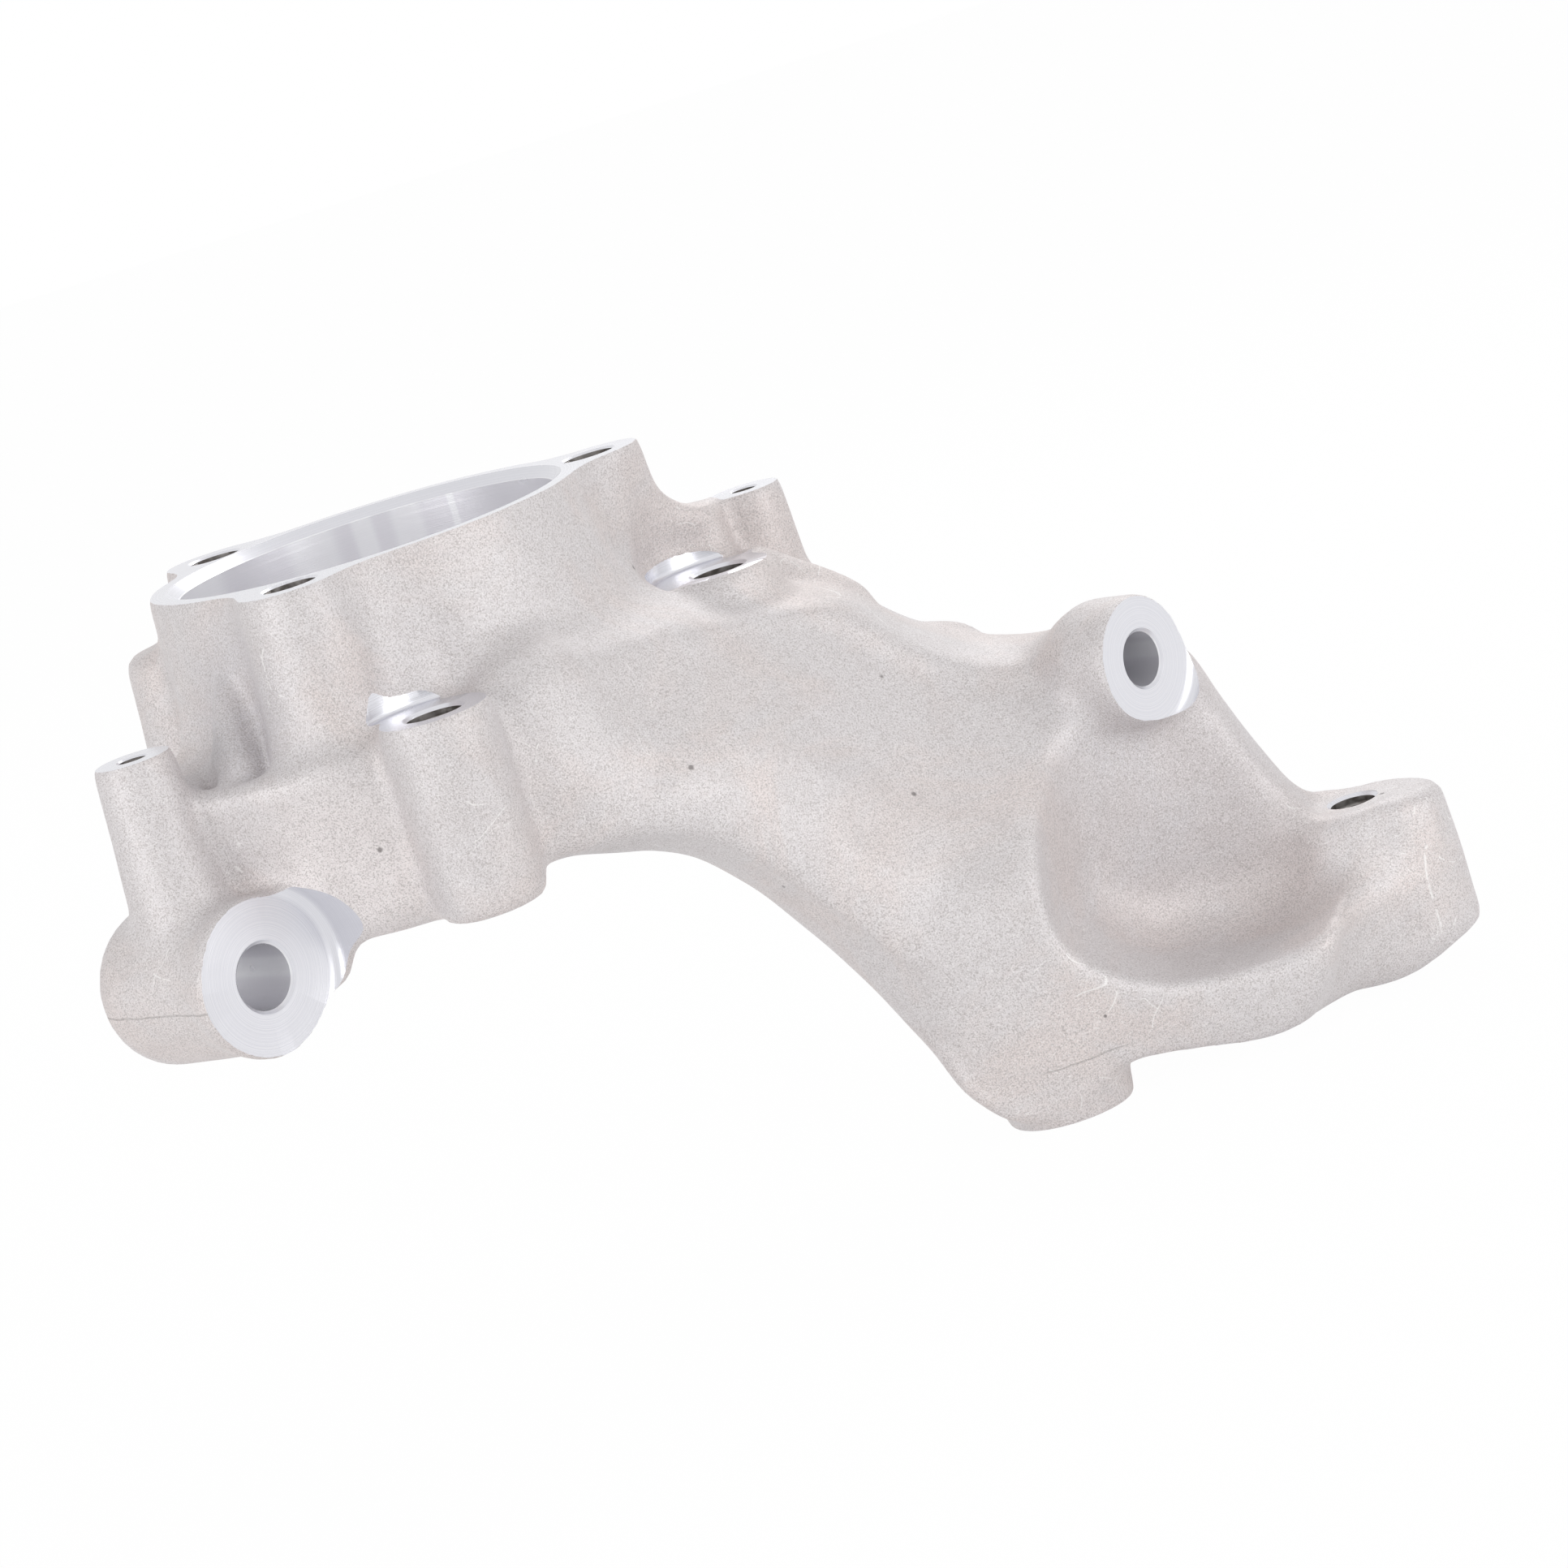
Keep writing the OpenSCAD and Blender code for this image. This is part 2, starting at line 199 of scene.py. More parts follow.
def spread_out(values, every, shape):
    """Straight interpolation of a coarse block of values onto the fine grid."""
    for axis in range(3):
        at = np.arange(shape[axis]) / every
        i = at.astype(int)
        f = (at - i).astype(np.float32)
        f = f.reshape([-1 if k == axis else 1 for k in range(3)])
        values = np.take(values, i, axis) * (1 - f) + np.take(values, i + 1, axis) * f
    return values


def nearest(tree, points):
    """Distance from points to a closed surface, inside or out."""
    look = tree.find_nearest
    return np.array([look(p)[3] for p in points.tolist()], np.float32)


def filled(tree, grid):
    """Which grid points lie inside a closed surface, counted along lines that run front to back."""
    inside = np.zeros(grid.shape, bool)
    y = grid.y.ravel()
    start = float(grid.low[1]) - 50.0
    ahead = Vector((0, 1, 0))
    for i, x in enumerate((grid.x.ravel() + 0.013).tolist()):
        for k, z in enumerate((grid.z.ravel() + 0.017).tolist()):
            crossings = []
            hit = tree.ray_cast(Vector((x, start, z)), ahead)[0]
            while hit:
                crossings.append(hit.y)
                hit = tree.ray_cast(Vector((x, hit.y + 0.001, z)), ahead)[0]
            if crossings:
                inside[i, :, k] = np.searchsorted(crossings, y) % 2 == 1
    return inside


def surface_field(grid, rings, band=10.0, every=4):
    """Field of a lofted solid, exact near its surface and rough elsewhere."""
    points, faces = loft(rings)
    tree = BVHTree.FromPolygons(points.tolist(), faces)
    rough = grid.coarse(every)
    block = nearest(tree, rough.points().reshape(-1, 3)).reshape(rough.shape)
    field = spread_out(block, every, grid.shape).astype(np.float32)
    close = field < band
    field[close] = nearest(tree, grid.points()[close])
    return np.where(filled(tree, grid), -field, field)


def soften(field, times):
    """Evens out a field a little, which rounds every edge of the cast surface."""
    for _ in range(times):
        for axis in range(3):
            field = (np.roll(field, 1, axis) + 2 * field + np.roll(field, -1, axis)) / 4
    edge = np.ones(field.shape, bool)
    edge[1:-1, 1:-1, 1:-1] = False
    field[edge] = 1.0
    return field


def surface_of(field, grid):
    """Closed mesh of quads where a field crosses zero: one point in each crossed cell."""
    inside = field < 0
    size = np.array(field.shape) - 1
    steps = np.array([size[1] * size[2], size[2], 1])
    total = np.zeros((int(np.prod(size)), 3))
    count = np.zeros(int(np.prod(size)))
    quads = []
    for k in range(3):
        # Every line between two neighbouring points along this axis that the surface crosses
        u, v = (k + 1) % 3, (k + 2) % 3
        a = np.take(field, range(size[k]), k)
        b = np.take(field, range(1, size[k] + 1), k)
        crossed = np.argwhere((a < 0) != (b < 0))
        at = tuple(crossed.T)
        points = crossed.astype(float)
        points[:, k] += a[at] / (a[at] - b[at])
        # A quad joins the four cells around it, and each cell's point is the mean of its crossings
        cells = crossed @ steps
        around = np.stack([cells - steps[u] - steps[v], cells - steps[v], cells, cells - steps[u]], 1)
        for c in around.T:
            for axis in range(3):
                total[:, axis] += np.bincount(c, points[:, axis], len(total))
            count += np.bincount(c, minlength=len(count))
        leaving = inside[at]
        quads.append(np.where(leaving[:, None], around, around[:, ::-1]))
    quads = np.concatenate(quads)
    used = np.flatnonzero(count)
    new = np.zeros(len(count), int)
    new[used] = np.arange(len(used))
    return grid.low + grid.pitch * total[used] / count[used, None], new[quads]


# Shapes of the casting


def curve_through(rows, n, closed=False):
    """Smooth curve through rows of numbers, n points to each gap."""
    rows = np.array(rows, float)
    last = len(rows) - 1
    out = []
    for i in range(len(rows) if closed else last):
        take = [(i + k) % len(rows) if closed else min(max(i + k, 0), last) for k in (-1, 0, 1, 2)]
        a, b, c, d = rows[take]
        for f in np.arange(n) / n:
            bend = (2 * a - 5 * b + 4 * c - d) + f * (3 * (b - c) + d - a)
            out.append(b + 0.5 * f * ((c - a) + f * bend))
    if not closed:
        out.append(rows[-1])
    return np.array(out)


def loft(rings):
    """Closed skin over rings of equally many points, facing outwards."""
    rings = np.array(rings, float)
    m, n = rings.shape[:2]
    points = np.concatenate([rings.reshape(-1, 3), rings[[0, -1]].mean(1)])
    faces = []
    for j in range(m - 1):
        for i in range(n):
            a, b = j * n + i, j * n + (i + 1) % n
            faces.append((a, b, b + n, a + n))
    for i in range(n):
        faces.append(((i + 1) % n, i, m * n))
        faces.append(((m - 1) * n + i, (m - 1) * n + (i + 1) % n, m * n + 1))
    volume = sum(np.dot(points[f[0]], np.cross(points[f[1]], points[f[2]])) for f in faces)
    quads = [f for f in faces if len(f) == 4]
    volume += sum(np.dot(points[f[0]], np.cross(points[f[2]], points[f[3]])) for f in quads)
    if volume < 0:
        faces = [f[::-1] for f in faces]
    return points, faces


def lerp(a, b, t):
    return a + (b - a) * t


# Arm stations from the hub to the arm end: upper edge X, Z, lower edge X, Z, then the front and back
# of the upper edge, of the lower edge and of the web as Y, how far down the web reaches, and how far
# back the foot of the lower edge leans
ARM_STATIONS = (
    (34, -34, -4, -76, -58, -30, -73, -40, -69, -38, 0.5, 0.6),
    (60, -39, 20, -79, -40, 10, -70, -34, -60, -24, 0.5, 0.6),
    (84, -42, 36, -81, -24, 34, -67, -26, -50, -6, 0.5, 0.6),
    (102, -47, 49, -88.5, -15, 40, -62, -18, -42, 6, 0.5, 0.6),
    (115, -60, 60.5, -100, -12, 40, -58, -14, -37, 10, 0.5, 0.6),
    (129, -69.5, 72, -116, -13, 34, -57, -10, -35, 12, 0.5, 0.5),
    (143, -73.5, 82, -132.5, -15, 26, -57, -6, -35, 14, 0.46, 0.4),
    (158, -74, 90, -148, -17, 24, -57, -4, -33, 17, 0.36, 0.25),
    (176, -83, 97, -162, -17, 26, -57, -2, -30, 19, 0.32, 0.1),
    (183, -99, 109, -170, -16, 26, -57, 0, -28, 20, 0.3, 0.06),
    (189, -115, 135, -164, -15, 24, -55, 0, -27, 19, 0.3, 0.06),
    (196, -129, 162, -169, -16, 18, -52, 0, -26, 14, 0.3, 0.1),
    (200.5, -130.3, 175, -169.5, -18, 13, -50, 0, -26, 11, 0.3, 0.12),
    (204, -131, 184, -170, -20, 8, -39, 0, -24, 8, 0.3, 0.15),
    (210, -132, 203, -170, -22, 4, -30, -2, -23, 4, 0.3, 0.2),
    (215, -138, 214, -167, -22, 0, -24, -4, -23, -2, 0.3, 0.2),
)


def arm_ring(row):
    """One section of the arm, down its front and up its back."""
    top_x, top_z, low_x, low_z, tf, tb, lf, lb, wf, wb, web, foot = row
    # Where the flat face of the rim begins: early along the scoop, late nearer the hub
    face = lerp(0.8, 0.48, min(max((top_x - 143) / 25, 0.0), 1.0))
    ring = (
        (0.0, lerp(tf, tb, 0.5)),
        (0.015, lerp(tf, tb, 0.22)),
        (0.05, lerp(tf, tb, 0.06)),
        (0.12, tf),
        (lerp(0.12, web, 0.4), lerp(tf, wf, 0.5)),
        (lerp(0.12, web, 0.78), wf),
        (web, lerp(wf, lf, 0.35)),
        (lerp(web, face, 0.3), lerp(wf, lf, 0.62)),
        (lerp(web, face, 0.6), lerp(wf, lf, 0.85)),
        (face, lf),
        (lerp(face, 0.88, 0.6), lf),
        (0.88, lerp(lf, lb, 0.17 * foot)),
        (0.95, lerp(lf, lb, 0.5 * foot)),
        (1.0, lerp(lf, lb, foot)),
        (0.97, lerp(lf, lb, 0.88)),
        (0.9, lb),
        (0.76, lerp(lb, wb, 0.8)),
        (0.62, wb),
        (0.46, wb),
        (0.3, wb),
        (0.18, lerp(wb, tb, 0.6)),
        (0.08, tb),
        (0.02, lerp(tb, tf, 0.15)),
    )
    flat = curve_through(ring, 4, closed=True)
    return [(lerp(top_x, low_x, f), y, lerp(top_z, low_z, f)) for f, y in flat]


# Plans of the casting that wraps the front of the barrel, at the ledge and lower down
SKIRT_PLAN = (
    (-71, -32), (-68, -51), (-50, -63), (-24, -76), (6, -75), (26, -67),
    (44, -53), (60, -35), (74, -12), (76, 14), (60, 30),
)
SKIRT_LOW = (
    (-72, -34), (-69, -50), (-52, -58), (-26, -70), (4, -76), (25, -68),
    (43, -56), (60, -38), (74, -14), (76, 12), (60, 30),
)
SKIRT_INSIDE = ((30, 20), (0, -18), (-40, -10))
# How much of the flare each plan point takes: none leaves a ledge in front of the barrel
SKIRT_FLARE = (0.6, 0, 0, 0.1, 0.72, 0.8, 0.92, 1, 1, 1, 1)
# Height, flare, ledge, and lean from the plan to the low plan
SKIRT_STEPS = (
    (-16, 0, 0, 0), (-23, 0.1, 0, 0), (-29, 0.28, 0, 0), (-34, 0.54, 0.05, 0), (-38, 0.8, 0.9, 0.1),
    (-40, 0.88, 1, 0.15), (-48, 1, 1, 0.4), (-60, 1, 1, 0.9), (-71, 1, 1, 1), (-77, 0.93, 0.93, 0.8),
    (-80, 0.72, 0.72, 0.6),
)
# Plan of the hollow behind the ledge
POCKET_PLAN = ((-53, -40), (-51, -56), (-46, -61.5), (-27, -70), (-22, -67), (-22, -44))


def skirt_ring(z, flare, ledge, lean):
    """One level section of the skirt."""
    plan = []
    for near, low, part in zip(SKIRT_PLAN, SKIRT_LOW, SKIRT_FLARE):
        p = lerp(np.array(near, float), np.array(low, float), lean)
        plan.append(lerp((BARREL_R - 1) * p / np.hypot(*p), p, lerp(ledge, flare, part)))
    smooth = curve_through(plan, 4)
    return [(p[0], p[1], z) for p in list(smooth) + [np.array(p) for p in SKIRT_INSIDE]]


# Rim of the arm's scoop as X, Z; above the arm's upper edge the outline only closes it
SCOOP_RIM = (
    (128, -60), (127.5, -90), (126.5, -103), (125.4, -117), (126, -130), (132, -139), (141, -145),
    (152, -149), (165, -151), (177, -151), (187, -148), (198, -143), (210, -136), (224, -124), (228, -60),
)
SCOOP_FLOOR = -12.0
SCOOP_FILLET = 14.0
RIM_FRONT = -57.0


def scoop_field(grid):
    """The hollow in the arm's front: a floor that slopes in from both sides, and a wall up to the rim."""
    rim = front_field(grid, curve_through(SCOOP_RIM, 4, closed=True))
    # The wall on the hub's side closes in a little as it goes down
    rim = rim + 0.22 * np.clip(grid.y - RIM_FRONT, 0, 22) * np.clip((150 - grid.x) / 16, 0, 1)
    hub_side = -35 + 0.63 * (grid.x - 123) - 0.194 * (grid.z + 106)
    end_side = SCOOP_FLOOR - 0.42 * (grid.x - 184) - 0.1 * (grid.z + 130)
    floor = blend(blend(hub_side, SCOOP_FLOOR, 16), end_side, 9)
    return capped(rim, -grid.y - 200, (grid.y - floor) / 1.15, SCOOP_FILLET)


# The arm's lower edge beside the front caliper boss as X, Z, 60 mm in front of the bore's axis
UNDERSIDE = ((16, -76.9), (25.5, -76.5), (29, -77.1), (34.4, -78.6), (41, -81.2), (49.4, -86.5), (62, -97))


def underside_field(grid):
    """What lies under the arm's lower edge there; the edge drops towards the back."""
    along, height = zip(*UNDERSIDE)
    edge = np.interp(grid.x, along, height).astype(np.float32) - 0.21 * (grid.y + 60)
    return np.maximum(grid.z - edge, np.maximum(18 - grid.x, grid.x - 56))


def flange_outline():
    """Three lobes on the barrel's circle, joined to it by wide fillets, each an arc about its own centre."""
    far, near, d = BARREL_R + LOBE_FILLET, LOBE_R + LOBE_FILLET, BOLT_CIRCLE_R
    side = math.acos((far * far + d * d - near * near) / (2 * far * d))
    lean = math.atan2(far * math.sin(side), far * math.cos(side) - d)
    points = []

    def arc(radius, angle, r, start, end, n):
        for t in np.linspace(start, end, n, endpoint=False):
            x = radius * math.cos(angle) + r * math.cos(t)
            y = radius * math.sin(angle) + r * math.sin(t)
            points.append((x, y))

    for degrees in BOLT_ANGLES:
        turn = math.radians(degrees)
        arc(far, turn - side, LOBE_FILLET, turn - side + math.pi, turn - lean + math.pi, 8)
        arc(d, turn, LOBE_R, turn - lean, turn + lean, 24)
        arc(far, turn + side, LOBE_FILLET, turn + lean - math.pi, turn + side - math.pi, 8)
        arc(0, 0, BARREL_R, turn + side, turn + math.radians(120) - side, 12)
    return np.array(points)


def hub_field(grid):
    """The barrel, and the lobes of its flange that run down into it."""
    hub = column(grid, (0, 0), -BORE_H, STOCK, BARREL_R + 2, BARREL_R - 1.2, 2)
    lobes = upright(grid, plan_field(grid, flange_outline()), -LOBE_H, STOCK, 0.07, 1)
    return blend(hub, lobes, 2.5)


def skirt_field(grid):
    """The casting that wraps the front of the barrel, with a hollow behind its ledge."""
    steps = curve_through(SKIRT_STEPS, 3)
    skirt = surface_field(grid, [skirt_ring(*row) for row in steps])
    pocket = plan_field(grid, np.array(POCKET_PLAN, float))
    return carve(skirt, upright(grid, pocket, -58, -10, -0.12, 1), 3)


def arm_field(grid):
    """The arm from the barrel to its end, with the scoop in its front."""
    stations = curve_through(ARM_STATIONS, 12)
    arm = surface_field(grid, [arm_ring(row) for row in stations])
    return carve(arm, scoop_field(grid), 2.5)


def add_ribs(grid, body):
    """Small forms between the main ones."""
    # The rib in the ledge's hollow, its nose, and the floor beside it
    rib = spindle(grid, (-37, -46, -44), np.array([-0.04, 0.17, 0.985]), ((-16, 11), (8, 9), (26, 1.5)), 1)
    nose = spindle(grid, (-38.6, -54.5, -37), np.array([0.0, 0.64, 0.77]), ((-1, 5), (21, 1)), 0.5)
    nose = blend(nose, column(grid, (-38.6, -55), -60, -36, 5.6, 4.8, 1.5), 2)
    body = blend(body, blend(rib, nose, 4), 3)
    body = blend(body, column(grid, (-26.5, -62), -75, -41.5, 9, 8, 2), 3)

    # The lobe on the barrel's far left, and the wall that carries the far shield boss
    side_rib = column(grid, (-BARREL_R, 4), -50, -12.5, 14, 11, 3)
    body = blend(body, side_rib, 4)
    wall = column(grid, (61, 17), -60, -20.5, 10, 8, 2)
    wall = blend(wall, column(grid, (74, 24), -74, -20.5, 10, 7, 2), 12)
    body = blend(body, wall, 9)

    # The foot beside the short link, and the ridge from the side caliper boss down the arm
    gusset = column(grid, (-34, -60), -89, -68, 5, 10.5, 3)
    body = blend(body, gusset, 7)
    ridge = spindle(grid, (87, 15, -39), np.array([0.81, 0.07, -0.58]), ((-5, 5.5), (12, 5), (26, 3)), 2)
    body = blend(body, ridge, 6)

    # Behind and beside the front caliper boss
    body = carve(body, column(grid, (14.5, -59.5), -34.5, -8, 5, 6, 3), 4)
    saddle = column(grid, (32, -53), -62, -33, 11, 4, 4)
    saddle = blend(saddle, column(grid, (25, -58), -60, -32, 9, 4, 3), 8)
    body = blend(body, saddle, 12)
    return carve(body, underside_field(grid), 3)


def add_bosses(grid, body):
    """Bosses for the caliper and the shield, and the two link bosses on their slanted axes."""
    front = column(grid, FRONT_CALIPER, -79.5, FRONT_CALIPER[2] + STOCK, 12.4, 13, 2)
    side = column(grid, SIDE_CALIPER, -63.5, SIDE_CALIPER[2] + STOCK, 18, 13, 1)
    near = column(grid, NEAR_SHIELD, -74, NEAR_SHIELD[2] + STOCK, 12.5, 9, 1)
    far = column(grid, FAR_SHIELD, -60, FAR_SHIELD[2] + STOCK, 11, 9, 1)
    for boss, k in ((front, 4), (side, 4), (near, 1.8), (far, 6)):
        body = blend(body, boss, k)

    short = spindle(grid, SHORT_LINK, LINK, (
        (STOCK, 18.4), (-3, 18.3), (-8, 17.1), (-22, 18.1), (-34, 18.8), (-39, 17.5),
        (-SHORT_LENGTH, 14.8)), 1.5)
    long = spindle(grid, LONG_LINK, LINK, (
        (STOCK, 15.3), (-14, 15.5), (-20, 13), (-25, 9), (-30, 8), (-50, 8), (-56, 11), (-58, 14),
        (-LONG_LENGTH - STOCK, 14)), 1.5)
    body = blend(body, short, 5)
    return blend(body, long, 6)


def add_arm_end(grid, body):
    """The block at the arm's end and the stay boss under the arm."""
    block = column(grid, ARM_END + (-2, -2.5, 0), -169, ARM_END[2], 14.8, 13.6, 3)
    block = blend(block, column(grid, ARM_END + (7.5, -2.5, 0), -167, ARM_END[2], 14.8, 13.6, 3), 2)
    stay = column(grid, STAY, STAY[2] - STOCK, -156, 15.3, 16, 1.5)
    body = blend(body, block, 10)
    body = blend(body, stay, 4)
    return carve(body, column(grid, ARM_END, ARM_END[2], ARM_END[2] + 12, 11, 14, 0.5), 2)


def casting_field(grid):
    """The whole casting, with stock on its machined faces and its bores still closed or small."""
    body = blend(hub_field(grid), skirt_field(grid), 9)
    body = blend(body, arm_field(grid), 10)
    body = add_ribs(grid, body)
    body = add_bosses(grid, body)
    body = add_arm_end(grid, body)

    # Room above the side caliper boss, the cored bore, and the open relief behind it
    clearance = column(grid, SIDE_CALIPER, SIDE_CALIPER[2] + 2.4, -2, 18.5, 13, 3)
    body = carve(body, clearance, 4)
    body = carve(body, column(grid, (0, 0), -120, 20, BORE_R - 2, BORE_R - 2, 1), 1)
    body = carve(body, column(grid, (0, 0), RELIEF_Z, 1 - BORE_H, RELIEF_R, RELIEF_R, 3), 2)

    # The slight unevenness of a casting
    wave = np.sin(grid.x * 0.21 + 1.3) * np.sin(grid.y * 0.17 + 0.4) * np.sin(grid.z * 0.24 + 2.2)
    wave = wave + 0.6 * np.sin(grid.x * 0.11 - grid.z * 0.13) * np.sin(grid.y * 0.31 + grid.x * 0.07)
    return soften(body + 0.18 * wave, 2)


def make_mesh(name, points, faces):
    mesh = bpy.data.meshes.new(name)
    mesh.from_pydata(points.tolist(), [], faces.tolist() if isinstance(faces, np.ndarray) else faces)
    mesh.update()
    return mesh


def make_object(name, mesh):
    piece = bpy.data.objects.new(name, mesh)
    bpy.context.scene.collection.objects.link(piece)
    return piece


# Machining


# Bands of painted reflection in the bore, painted into its colour: where each lies across it and how wide it
# is, as shares of the radius
BORE_PAINTED_REFLECTIONS = ((-0.95, 0.2), (-0.36, 0.2), (-0.08, 0.09), (0.16, 0.13), (0.42, 0.03))

# Machined finishes, each about an axis: its name, a point on the axis and the axis's direction, and for
# a bore also its radius, the way across it and its bands of painted reflection
AXES = (
    ("flange", (0, 0, 0), UP),
    ("bore", (0, 0, 0), UP, BORE_R, (1, 0, 0), BORE_PAINTED_REFLECTIONS),
    ("front_caliper", FRONT_CALIPER, UP),
    ("side_caliper", SIDE_CALIPER, UP),
    # The link holes get one band of painted reflection across the middle of their wall.
    ("short_link", SHORT_LINK, LINK, SHORT_HOLE_R, (0, 0, 1), ((0.0, 0.5),)),
    ("long_link", LONG_LINK, LINK, LONG_HOLE_R, (0, 0, 1), ((0.1, 0.5),)),
    ("near_shield", NEAR_SHIELD, UP),
    ("far_shield", FAR_SHIELD, UP),
    ("stay", STAY, UP),
)
# Their material slots on the casting, after the cast skin's and before the cut threads'
FLANGE, BORE, FRONT, SIDE, SHORT, LONG, NEAR, FAR, STAND, THREAD = range(1, 11)


def turned(profile, place, axis, finish, hole=None, segments=96):
    """Closed cutter: a profile of radius and distance along an axis, spun about it. It starts and
    ends on the axis, and leaves its finish on what it cuts, and another one in the hole."""
    turn = Vector((0, 0, 1)).rotation_difference(Vector(axis)).to_matrix()
    build = bmesh.new()
    rings = []
    for r, s in profile:
        n = 1 if r < 1e-6 else segments
        ring = []
        for i in range(n):
            t = 2 * math.pi * (i + 0.5) / segments
            p = turn @ Vector((r * math.cos(t), r * math.sin(t), s)) + Vector(place)
            ring.append(build.verts.new(p))
        rings.append(ring)
    for k, (a, b) in enumerate(zip(rings, rings[1:])):
        deep = profile[k][1] < -0.3 and profile[k + 1][1] < -0.3
        for i in range(segments):
            j = (i + 1) % segments
            corners = [a[i % len(a)], a[j % len(a)], b[j % len(b)], b[i % len(b)]]
            face = build.faces.new(list(dict.fromkeys(corners)))
            face.material_index = hole if hole and deep else finish
    bmesh.ops.recalc_face_normals(build, faces=build.faces)
    mesh = bpy.data.meshes.new("cutter")
    build.to_mesh(mesh)
    build.free()
    return mesh


def faced(r, reach=26.0, corner=1.2):
    """Profile of a facing cutter with a rounded corner."""
    turns = np.linspace(0, math.pi / 2, 7)
    arc = [(r - corner + corner * math.sin(t), corner - corner * math.cos(t)) for t in turns]
    return [(0, 0)] + arc + [(r, reach), (0, reach)]


def drilled(r, depth, chamfer=0.8, tip=True):
    """Profile of a hole with a chamfered mouth, and a drill point where it is blind."""
    end = [(0, -depth - 0.5 * r), (r, -depth)] if tip else [(0, -depth), (r, -depth)]
    return end + [(r, -chamfer), (r + chamfer, 0), (r + chamfer, 3), (0, 3)]


def flange_holes():
    turns = [math.radians(degrees) for degrees in BOLT_ANGLES]
    return [np.array([BOLT_CIRCLE_R * math.cos(t), BOLT_CIRCLE_R * math.sin(t), 0.0]) for t in turns]


def cutters():
    """Every machining cut, in the order in which it is made."""
    # The flange face and the bore with its chamfer
    cuts = [turned([(0, 0), (90, 0), (90, 12), (0, 12)], (0, 0, 0), UP, FLANGE, None, 64)]
    bore = [(0, -BORE_H - 1), (BORE_R, -BORE_H - 1), (BORE_R, -BORE_CHAMFER),
            (BORE_R + BORE_CHAMFER + 1, 1), (0, 1)]
    cuts.append(turned(bore, (0, 0, 0), UP, BORE, None, 192))

    # Spot faces of the bosses, each with its hole; a long reach clears the casting beside the face
    for place, reach, finish in ((FRONT_CALIPER, 26, FRONT), (SIDE_CALIPER, 4, SIDE)):
        cuts.append(turned(faced(17, reach), place, UP, finish))
        cuts.append(turned(drilled(CALIPER_HOLE_R, CALIPER_HOLE_H), place, UP, finish, THREAD))
    for place, r, hole, reach, finish in (
        (SHORT_LINK, 20.8, SHORT_HOLE_R, SHORT_LENGTH + 1, SHORT),
        (LONG_LINK, 18.2, LONG_HOLE_R, LONG_LENGTH + 2, LONG),
    ):
        cuts.append(turned(faced(r, 26, 3), place, LINK, finish))
        cuts.append(turned(drilled(hole, reach, 0.8, False), place, LINK, finish))
    cuts.append(turned(faced(17.2), LONG_LINK - LONG_LENGTH * LINK, -LINK, LONG))
    for place, finish in ((NEAR_SHIELD, NEAR), (FAR_SHIELD, FAR)):
        cuts.append(turned(faced(10.5, 14, 0.8), place, UP, finish))
        cuts.append(turned(drilled(SHIELD_HOLE_R, SHIELD_HOLE_H, 0.4), place, UP, finish, THREAD, 48))

    # Holes of the flange, of the arm's end and of the stay boss, whose face looks down
    for place in flange_holes():
        cuts.append(turned(drilled(BOLT_HOLE_R, BOLT_HOLE_H, 0.5), place, UP, FLANGE, THREAD, 64))
    cuts.append(turned(drilled(END_HOLE_R, END_HOLE_H), ARM_END, UP, FLANGE, THREAD, 64))
    cuts.append(turned(faced(19, 8, 0.5), STAY, -UP, STAND, None, 64))
    cuts.append(turned(drilled(STAY_HOLE_R, STAY_HOLE_H), STAY, -UP, STAND, THREAD, 64))
    return cuts


def machine(piece):
    """Takes every cut out of the casting. What a cutter touches gets the cutter's finish."""
    for cut in cutters():
        for slot in piece.material_slots:
            cut.materials.append(slot.material)
        tool = make_object("tool", cut)
        step = piece.modifiers.new("cut", "BOOLEAN")
        step.operation = "DIFFERENCE"
        step.solver = "MANIFOLD"
        step.object = tool
        done = bpy.data.meshes.new_from_object(piece.evaluated_get(bpy.context.evaluated_depsgraph_get()))
        piece.modifiers.clear()
        piece.data = done
        bpy.data.objects.remove(tool)


# Materials


class Link:
    """One output of a node, so that shader maths reads as plain sums."""

    def __init__(self, tree, socket):
        self.tree = tree
        self.socket = socket

    def maths(self, operation, a, b=0.0):
        return self.tree.node("ShaderNodeMath", {"operation": operation}, {0: a, 1: b})

    def __add__(self, other):
        return self.maths("ADD", self, other)

    def __radd__(self, other):
        return self.maths("ADD", other, self)

    def __sub__(self, other):
        return self.maths("SUBTRACT", self, other)

    def __rsub__(self, other):
        return self.maths("SUBTRACT", other, self)

    def __mul__(self, other):
        return self.maths("MULTIPLY", self, other)

    def __rmul__(self, other):
        return self.maths("MULTIPLY", other, self)

    def __truediv__(self, other):
        return self.maths("DIVIDE", self, other)

    def __rtruediv__(self, other):
        return self.maths("DIVIDE", other, self)

    def __abs__(self):
        return self.maths("ABSOLUTE", self)

    def between(self, low, high):
        """Nought below low, one above high, and a smooth step between."""
        return self.tree.node("ShaderNodeMapRange", {"interpolation_type": "SMOOTHSTEP"},
                              {"Value": self, "From Min": low, "From Max": high})


